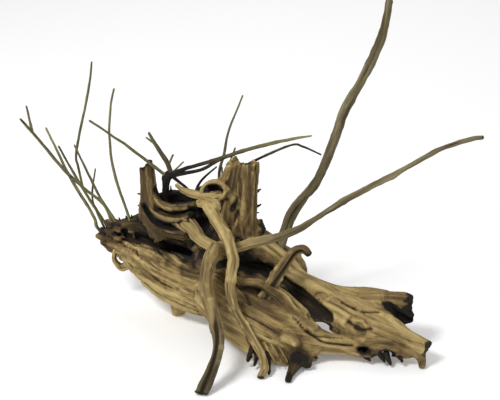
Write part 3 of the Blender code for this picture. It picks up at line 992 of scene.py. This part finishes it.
SLIM_MEMBERS = {
    "front_leg": (
        (-26, 26, 84, 8), (-35, -4, 104, 7.5), (-43, -28, 94, 7), (-44, -41, 81, 7),
        (-40, -52, 67, 7), (-34, -66, 52, 6.5), (-31, -80, 38, 6), (-36, -97, 22, 5.9),
        (-44, -108, 9, 6.1), (-48, -113, 1, 5.8),
    ),
    "twisted_root": (
        (-38, 34, 142, 5), (-42, 24, 141, 6.6), (-36, 14, 133, 6.2), (-22, -10, 118, 5.5),
        (-17, -22, 103, 5.5), (-19, -31, 91, 5), (-20, -38, 76, 5), (-14, -45, 57, 4.5),
        (-5, -51, 42, 4.5), (5, -59, 29, 4), (12, -67, 19, 4), (14, -76, 9, 4), (10, -84, 1, 3.2),
    ),
    "right_branch": (
        (-80, 66, 104, 8), (-68, 50, 108, 9), (-60, 40, 107, 8), (-51, 30, 99, 6.5),
        (-39, 20, 96, 5.5), (-26, 10, 98, 5), (-12, 3, 104, 4.5), (2, 2, 109, 4.3),
        (26, 6, 113, 3.7), (51, 8, 123, 3.3), (80, 8, 143, 3.2), (115, 10, 165, 2.9),
        (153, 12, 186, 2.7), (189, 15, 206, 2.4), (218, 18, 216, 2), (233, 19, 218, 1.7),
    ),
    "tall_branch": (
        (20, 36, 60, 8), (31, 43, 84, 6.2), (38, 46, 104, 5.2), (46, 47, 124, 5),
        (69, 50, 157, 4.7), (82, 52, 190, 4.5), (96, 56, 232, 4.5), (112, 59, 263, 4.6),
        (118, 60, 275, 5.1), (127, 62, 296, 4.3), (134, 64, 318, 4.2), (138, 66, 347, 4.1),
    ),
    "curled_spur": (
        (8, -14, 44, 7), (17, -20, 62, 6.8), (32, -12, 87, 6.2), (44, -5, 102, 5.6),
        (54, -6, 106, 4.8), (61, -11, 101, 3),
    ),
    "loop_root": (
        (-138, 93, 62, 4), (-145, 91, 57, 3), (-147.5, 90, 49, 2.3), (-146, 90, 42, 2.6),
        (-141, 89, 36.5, 4.2), (-135, 88, 37, 4.4), (-124, 84, 42, 4),
    ),
    "crown_root": (
        (-26, 34, 149, 5), (-40, 29, 148, 5), (-51, 32, 148, 4.6), (-62, 37, 149, 3.8),
        (-70, 41, 151, 2.8), (-77, 45, 155, 1.6),
    ),
    "charred_stub": (
        (-89, 80, 108, 7), (-89, 76, 126, 4), (-88, 73, 141, 3.8), (-87, 71, 151, 5),
        (-81, 69, 158, 3.6),
    ),
}

# Small splinters: base, tip, half thickness at the base
DARK_SPLINTERS = (
    ((-110, 71, 129), (-119, 72, 132), 1.6), ((-110, 73, 114), (-119, 74, 118), 1.8),
    ((-111, 78, 101), (-121, 78, 105), 2.0), ((-138, 100, 82), (-142, 100, 91), 1.8),
    ((-131, 98, 84), (-134, 98, 94), 2.0), ((-124, 96, 86), (-128, 96, 96), 2.0),
    ((-118, 92, 88), (-121, 92, 98), 1.8), ((-98, 86, 124), (-100, 86, 135), 1.8),
    ((-91, 86, 124), (-92, 86, 135), 1.8), ((-84, 86, 126), (-84, 86, 135), 1.6),
    ((7, 46, 145), (12, 46, 149), 1.6), ((5, 44, 130), (12, 44, 133), 1.8),
    ((4, 42, 122), (10, 42, 124), 1.5), ((4, -50, 22), (-3, -62, 7), 4.0),
    ((9, -54, 18), (4, -66, 4), 3.4), ((17, -58, 18), (19, -80, 3), 3.6),
    ((136, -54, 16), (142, -62, 3), 4.2), ((129, -53, 15), (136, -60, 5), 3.2),
    ((148, -56, 15), (154, -61, 6), 3.4), ((108, -48, 14), (122, -57, 5), 3.4),
)
PALE_FIBRES = (
    ((6, -52, 28), (20, -68, 9), 2.0), ((13, -53, 26), (27, -68, 8), 2.2),
    ((20, -54, 26), (32, -68, 8), 1.8), ((2, -50, 26), (12, -66, 9), 1.8),
    ((27, -56, 26), (38, -68, 10), 1.8), ((-4, -46, 28), (5, -62, 10), 1.6),
)

TWIGS = {
    "twig_1": (
        (-233, 50, 226, 1.2), (-222, 58, 207, 1.7), (-194, 76, 157, 1.8), (-176, 84, 133, 1.8),
        (-155, 94, 106, 1.9), (-146, 100, 66, 2.2),
    ),
    "twig_1_fork": ((-228, 66, 234, 1.1), (-222, 58, 207, 1.6)),
    "twig_2": (
        (-215, 102, 195, 1.3), (-193, 102, 140, 1.8), (-170, 104, 92, 2.0), (-166, 106, 76, 2.0),
        (-154, 105, 62, 2.4),
    ),
    "twig_3": (
        (-205, 117, 168, 1.2), (-182, 113, 122, 1.6), (-158, 106, 82, 1.8), (-148, 102, 66, 2.0),
    ),
    "twig_4": (
        (-161, 84, 275, 1.0), (-166, 86, 243, 1.3), (-182, 90, 174, 1.5), (-181, 88, 156, 1.5),
        (-177, 85, 133, 1.5),
    ),
    "twig_5": ((-182, 70, 189, 1.2), (-160, 88, 121, 1.7), (-141, 97, 80, 1.8), (-136, 97, 68, 1.8)),
    "twig_6": (
        (-164, 98, 150, 0.9), (-169, 98, 118, 1.2), (-165, 101, 96, 1.2), (-155, 103, 70, 1.4),
    ),
    "twig_7": (
        (-137, 60, 255, 1.1), (-142, 64, 232, 1.3), (-145, 70, 193, 1.5), (-142, 80, 149, 1.6),
        (-130, 91, 96, 1.7), (-124, 90, 66, 1.8),
    ),
    "twig_8": ((-161, 30, 232, 1.2), (-126, 48, 197, 1.6), (-91, 69, 157, 2.0), (-86, 72, 152, 2.0)),
    "twig_9": ((-104, 60, 207, 1.6), (-97, 62, 192, 2.2), (-86, 68, 170, 2.8), (-82, 70, 156, 3.0)),
    "twig_9_fork": ((-107, 56, 203, 0.9), (-98, 62, 193, 1.4)),
    "twig_10": ((-79, 63, 181, 1.1), (-84, 68, 168, 1.4)),
    "twig_11": ((-68, 58, 175, 0.9), (-80, 70, 158, 1.2)),
    "twig_12": (
        (-86, 72, 151, 3.6), (-66, 62, 165, 2.5), (-43, 56, 175, 2.3), (0, 48, 193, 2.2),
        (30, 44, 203, 2.0), (63, 40, 211, 1.2),
    ),
    "twig_12_strand": (
        (-84, 71, 152, 2.8), (-68, 62, 160, 2.1), (-50, 57, 166, 1.9), (-34, 54, 177, 1.7),
        (-20, 52, 185, 1.3),
    ),
    "twig_13": ((-84, 72, 154, 1.8), (-64, 70, 136, 1.8), (-56, 74, 112, 1.8)),
    "twig_14": ((-34, 66, 166, 1.0), (-52, 70, 146, 1.4), (-62, 76, 118, 1.6)),
    "twig_15": (
        (-7, 80, 240, 1.0), (-22, 74, 202, 1.4), (-27, 70, 178, 1.6), (-32, 64, 157, 1.8),
        (-32, 48, 118, 2.2),
    ),
    "twig_16": ((-29, 62, 168, 1.0), (-28, 50, 122, 1.5)),
    "twig_17": ((-15, 70, 186, 1.0), (-25, 60, 158, 1.3), (-24, 52, 124, 1.4)),
    "twig_18": (
        (74, 60, 181, 1.0), (55, 58, 191, 1.2), (41, 57, 193, 1.4), (0, 56, 174, 1.7),
        (-23, 54, 158, 1.8), (-26, 48, 130, 1.8),
    ),
}

# Twigs that are darker than the rest: age at the start and at the tip
DARK_TWIGS = {
    "twig_9": (0.3, 1.5),
    "twig_12": (2.6, -0.3),
    "twig_12_strand": (2.5, 1.2),
    "twig_13": (1.9, 1.7),
    "twig_14": (1.5, 1.7),
    "twig_18": (1.8, 1.2),
    "twig_4": (1.1, 0.5),
}


# ---------------------------------------------------------------- materials
class Value:
    """A shader value: arithmetic on it adds Math nodes to its material."""

    def __init__(self, shader, socket):
        self.shader = shader
        self.socket = socket

    def math(self, operation, other):
        return self.shader.node("Math", 0, {"operation": operation}, {0: self, 1: other})

    def __add__(self, other):
        return self.math("ADD", other)

    __radd__ = __add__

    def __sub__(self, other):
        return self.math("SUBTRACT", other)

    def __rsub__(self, other):
        return (self * -1.0) + other

    def __mul__(self, other):
        return self.math("MULTIPLY", other)

    __rmul__ = __mul__

    def ramp(self, low, high):
        """0 below low, 1 above high, smooth between."""
        smooth = {"interpolation_type": "SMOOTHSTEP"}
        return self.shader.node("MapRange", 0, smooth, {0: self, 1: low, 2: high})


class Shader:
    """One material, and the one method that adds nodes to it."""

    def __init__(self, name):
        self.material = bpy.data.materials.new(name)
        self.material.use_nodes = True
        self.tree = self.material.node_tree
        self.surface = self.tree.nodes["Principled BSDF"]

    def node(self, kind, output, settings=None, sockets=None):
        """Adds a node of a type, with its settings, then the values or links of its sockets."""
        made = self.tree.nodes.new("ShaderNode" + kind)
        for key, value in (settings or {}).items():
            setattr(made, key, value)
        for key, value in (sockets or {}).items():
            self.put(made, key, value)
        return Value(self, made.outputs[output])

    def put(self, made, key, value):
        """Gives a socket a link or a value."""
        if isinstance(value, Value):
            self.tree.links.new(value.socket, made.inputs[key])
        else:
            made.inputs[key].default_value = value

    def attribute(self, name, output="Fac"):
        """A value that is stored per vertex."""
        return self.node("Attribute", output, {"attribute_name": name})

    def parts(self, name):
        """The three parts of a vector that is stored per vertex."""
        first = self.node("SeparateXYZ", 0, None, {0: self.attribute(name, "Vector")})
        return [Value(self, socket) for socket in first.socket.node.outputs]

    def stretched_noise(self, vector, scale, detail=3.0, roughness=0.55):
        """Noise over the vector, multiplied part by part by the scale."""
        scaled = self.node("VectorMath", 0, {"operation": "MULTIPLY"}, {0: vector, 1: scale})
        sockets = {"Vector": scaled, "Scale": 1.0, "Detail": detail, "Roughness": roughness}
        return self.node("TexNoise", 0, None, sockets)

    def mix(self, factor, a, b):
        """Colour a where the factor is 0, and b where it is 1."""
        return self.node("Mix", 2, {"data_type": "RGBA"}, {0: factor, 6: a, 7: b})


def srgb(red, green, blue):
    """Linear colour from 0-255 screen values."""
    return (*(((c / 255 + 0.055) / 1.055) ** 2.4 for c in (red, green, blue)), 1.0)


def wood(name, inner, outer=None, change=(0.3, 0.6), streak=1.0, fissured=0.75):
    """Bare weathered wood: pale ridges, brown furrows and streaks along the grain, dark cracks,
    charred broken ends, and painted shade in the furrows, in hollows (with some char there) and
    where other wood is near. The fine grain is noise stretched along the stored grain lengths. An
    outer palette takes over along a slim member, from and to the two shares of its length in
    change."""
    shader = Shader(name)
    grain = shader.attribute("grain", "Vector")
    tone, crack, char = shader.parts("look")
    # Age, then painted shade where other wood is near, then nearness to a hollow, which paints shade
    # there with some char. The age also carries painted shade, from the stain table and from limbs
    # such as dark_web.
    age, painted_shade, hollow = shader.parts("age_and_shade")
    rise = shader.attribute("rise")
    fine = shader.stretched_noise(grain, (0.03, 0.75, 0.75), 4.0, 0.62)
    hair = shader.stretched_noise(grain, (0.08, 2.4, 2.4), 3.0, 0.6)
    patch = shader.stretched_noise(grain, (0.018, 0.07, 0.07), 3.0, 0.55)
    streaks = (fine - 0.5) * 2.4 + (hair - 0.5) * 1.3
    # How pale the colour is: ridges are made paler and furrows darker, which paints shade in the
    # furrows, and the age darkens it, which includes painted shade
    light = tone * 0.45 + streaks * 0.7 * streak + (patch - 0.5) * 2.0 + rise * 0.55 - age * 0.9
    colours = []
    for pale, mid, brown, *_ in filter(None, (inner, outer)):
        colour = shader.mix((light + 0.1).ramp(-0.45, 1.0), mid, pale)
        colours.append(shader.mix((light * -1.0).ramp(0.05, 1.35) * 0.95, colour, brown))
    dark, black = inner[3:]
    colour = colours[0]
    if outer:
        colour = shader.mix(shader.attribute("length_along").ramp(*change), *colours)
    # Cracks go dark, and so do hollows, places near other wood and furrows: painted shade
    crack_and_painted_shade = crack * 0.75 + hollow * 0.8 + painted_shade * 0.9 + (rise * -0.25) + streaks * -0.15
    colour = shader.mix(crack_and_painted_shade.ramp(0.15, 1.1) * 0.93, colour, dark)
    fissure = shader.stretched_noise(grain, (0.022, 0.5, 0.5), 2.0, 0.5).ramp(0.6, 0.68)
    fissure = fissure * (patch * -1.0 + 0.9).ramp(0.2, 0.55) * fissured
    colour = shader.mix(fissure, colour, dark)
    # Charred ends, the age past brown and the grain's noise go towards black, and so do hollows and
    # places near other wood as painted shade; the age past brown includes painted shade from the
    # stain table
    old_and_shaded = (age - 1.0).math("MAXIMUM", -0.15)
    blackened = char * 1.25 + hollow * 0.7 + painted_shade * 0.35 + old_and_shaded + (fine - 0.5) * 1.1
    colour = shader.mix(blackened.ramp(0.45, 1.0) * 0.95, colour, black)
    height = fine * 0.8 + hair * 0.5 - fissure
    sockets = {"Strength": 0.7, "Distance": GRAIN_DEPTH, "Height": height}
    bump = shader.node("Bump", 0, None, sockets)
    shader.put(shader.surface, "Base Color", colour)
    shader.put(shader.surface, "Roughness", 0.7 + 0.18 * fine)
    shader.put(shader.surface, "Normal", bump)
    shader.put(shader.surface, "Specular IOR Level", 0.25)
    return shader.material


# Each palette: pale, mid, brown, dark (cracks and painted shade), black (char and painted shade)
CROWN_COLOURS = (
    srgb(188, 166, 111),
    srgb(134, 112, 70),
    srgb(74, 58, 36),
    srgb(33, 26, 18),
    srgb(20, 17, 14),
)
ROOT_COLOURS = (
    srgb(188, 167, 113),
    srgb(148, 127, 82),
    srgb(92, 75, 47),
    srgb(42, 33, 22),
    srgb(24, 20, 16),
)
BRANCH_COLOURS = (
    srgb(134, 125, 95),
    srgb(101, 92, 65),
    srgb(70, 59, 39),
    srgb(40, 33, 24),
    srgb(24, 20, 17),
)
TWIG_COLOURS = (
    srgb(142, 138, 97),
    srgb(110, 105, 70),
    srgb(72, 65, 44),
    srgb(38, 33, 25),
    srgb(22, 20, 17),
)


# ---------------------------------------------------------------- the piece
def finished(piece, material):
    """Gives a piece its material and its place on the wood's one body."""
    piece.data.materials.append(material)
    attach(piece, "root")
    return piece


crown_wood = wood("crown_wood", CROWN_COLOURS)
root_wood = wood("root_wood", ROOT_COLOURS, BRANCH_COLOURS, (0.4, 0.9), 0.6, 0.35)
pale_root_wood = wood("pale_root_wood", ROOT_COLOURS, streak=0.6, fissured=0.35)
branch_wood = wood("branch_wood", ROOT_COLOURS, BRANCH_COLOURS, (0.2, 0.45), 0.5, 0.3)
grey_wood = wood("grey_wood", BRANCH_COLOURS, streak=0.6, fissured=0.4)
twig_wood = wood("twig_wood", TWIG_COLOURS, streak=0.5, fissured=0.3)

crown = finished(new_mesh("crown", *crown_surface()), crown_wood)
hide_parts("driftwood")

# Each slim member's material, age at its start and end, and the rest that differs: charred
# length at each end in mm, groove (from, to, middle angle, half turn) and its depth in mm,
# how far a broken end slants, and the size of the nodules on the skin
ROUND_ROOT = {"cut": 0.0, "knobs": 0.9}
BROKEN_ROOT = {"cut": 0.3, "knobs": 0.9}
BRANCH = {"cut": 0.0, "knobs": 0.3}
LEG_GROOVE = {"groove": (120, 200, 4.85, 0.6), "depth": 3.2}
SPUR_GROOVE = {"groove": (18, 96, 1.5, 0.6), "depth": 3.0}
MEMBER_LOOKS = {
    "front_leg": (root_wood, (0.2, 1.0), {"char": (0, 5), **LEG_GROOVE, **BROKEN_ROOT}),
    "twisted_root": (pale_root_wood, (0.35, 0.3), {"char": (0, 6), **BROKEN_ROOT}),
    "right_branch": (branch_wood, (0.1, 0.3), {"char": (0, 6), **BRANCH}),
    "tall_branch": (grey_wood, (0.8, 0.1), {"char": (30, 0), **BRANCH}),
    "curled_spur": (pale_root_wood, (0.7, 0.6), {"char": (0, 12), **SPUR_GROOVE, **BROKEN_ROOT}),
    "loop_root": (pale_root_wood, (0.3, 0.3), ROUND_ROOT),
    "crown_root": (pale_root_wood, (0.3, 0.5), ROUND_ROOT),
    "charred_stub": (grey_wood, (1.6, 1.8), {"char": (60, 30), **ROUND_ROOT}),
}


def slim_member(number, name):
    """A root or branch from its table rows."""
    material, age, rest = MEMBER_LOOKS[name]
    seed = MEMBER_SEED + MEMBER_SEED_STEP * number
    made = carried_round(SLIM_MEMBERS[name], MEMBER_GRID, seed, age=age, **rest)
    finished(new_mesh(name, *made), material)


def twig(number, name):
    """A twig from its table row. Its age swings from one twig to the next."""
    age = DARK_TWIGS.get(name, (0.5 + 0.4 * math.sin(2.4 * number), 0.2))
    slimmer = [(x, y, z, TWIG_SHARE * radius) for x, y, z, radius in TWIGS[name]]
    seed = TWIG_SEED + MEMBER_SEED_STEP * number
    made = carried_round(slimmer, TWIG_GRID, seed, relief=0.6, wobble=0.9, age=age)
    finished(new_mesh(name, *made), twig_wood)


def splinters(name, spikes, age):
    """Small spikes as one piece: each runs through a middle a little off its straight line,
    and thins to the tip."""
    parts = []
    for number, (base, tip, thick) in enumerate(spikes):
        middle = []
        for k, (b, t) in enumerate(zip(base, tip)):
            middle.append(0.5 * (b + t) + 0.6 * math.sin(3.1 * number + k))
        stations = ((*base, thick), (*middle, 0.75 * thick), (*tip, 0.3 * thick))
        seed = SPLINTER_SEED + MEMBER_SEED_STEP * number
        parts.append(carried_round(stations, SPLINTER_GRID, seed, age=(age, age)))
    finished(new_mesh(name, *joined(parts)), crown_wood)


for number, name in enumerate(SLIM_MEMBERS):
    slim_member(number, name)
for number, name in enumerate(TWIGS):
    twig(number, name)
splinters("dark_splinters", DARK_SPLINTERS, 1.9)
splinters("pale_fibres", PALE_FIBRES, 0.1)


# ---------------------------------------------------------------- floor, light and camera
FLOOR_HALF = 6.0
FLOOR_GREY = 0.9
FLOOR_GLOW = 0.12
SURROUND_LIGHT = 0.42
WHITE = (1, 1, 1, 1)

# Lamps: name, place, size, watts, the point they face
LAMPS = (
    ("key", (-0.8, -0.7, 1.55), 0.5, 24.0, (0, 0, 0.08)),
    ("fill", (1.3, -1.2, 1.0), 1.4, 4.0, (0, 0, 0.1)),
    ("back", (0.2, 1.3, 1.5), 1.2, 9.0, (0, 0, 0.1)),
)

CAMERA_TURN = math.radians(25.0)
CAMERA_AWAY = 1.5
AIM_HEIGHT = 0.158
SENSOR_WIDTH = 36.0  # mm
WIDTH_IN_VIEW = 0.5  # metres across at the aim


def pale_floor():
    """A wide square of matt white that glows a little, so that it stays as pale as the
    surround."""
    size = FLOOR_HALF
    corners = [(-size, -size, 0), (size, -size, 0), (size, size, 0), (-size, size, 0)]
    data = bpy.data.meshes.new("floor")
    data.from_pydata(corners, [], [(0, 1, 2, 3)])
    paint = Shader("floor_white")
    paint.put(paint.surface, "Base Color", (FLOOR_GREY, FLOOR_GREY, FLOOR_GREY, 1))
    paint.put(paint.surface, "Roughness", 0.9)
    paint.put(paint.surface, "Emission Color", WHITE)
    paint.put(paint.surface, "Emission Strength", FLOOR_GLOW)
    data.materials.append(paint.material)
    floor = put_in_scene("floor", data)


def light():
    """A white surround and the soft lamps."""
    world = bpy.data.worlds.new("surround")
    world.use_nodes = True
    background = world.node_tree.nodes["Background"]
    background.inputs[0].default_value = WHITE
    background.inputs[1].default_value = SURROUND_LIGHT
    bpy.context.scene.world = world
    for name, spot, size, watts, aim in LAMPS:
        lamp = bpy.data.lights.new(name, "AREA")
        lamp.size = size
        lamp.energy = watts
        holder = put_in_scene(name, lamp)
        holder.location = spot
        away = Vector(spot) - Vector(aim)
        holder.rotation_mode = "QUATERNION"
        holder.rotation_quaternion = away.to_track_quat("Z", "Y")


def camera():
    """A long lens a little above the piece, aimed at its middle."""
    data = bpy.data.cameras.new("camera")
    data.sensor_width = SENSOR_WIDTH
    data.lens = SENSOR_WIDTH * CAMERA_AWAY / WIDTH_IN_VIEW
    holder = put_in_scene("camera", data)
    back = -CAMERA_AWAY * math.cos(CAMERA_TURN)
    height = AIM_HEIGHT + CAMERA_AWAY * math.sin(CAMERA_TURN)
    holder.location = (0, back, height)
    holder.rotation_euler = (math.pi / 2 - CAMERA_TURN, 0, 0)
    bpy.context.scene.camera = holder


pale_floor()
light()
camera()
bpy.context.scene.view_settings.view_transform = "Standard"
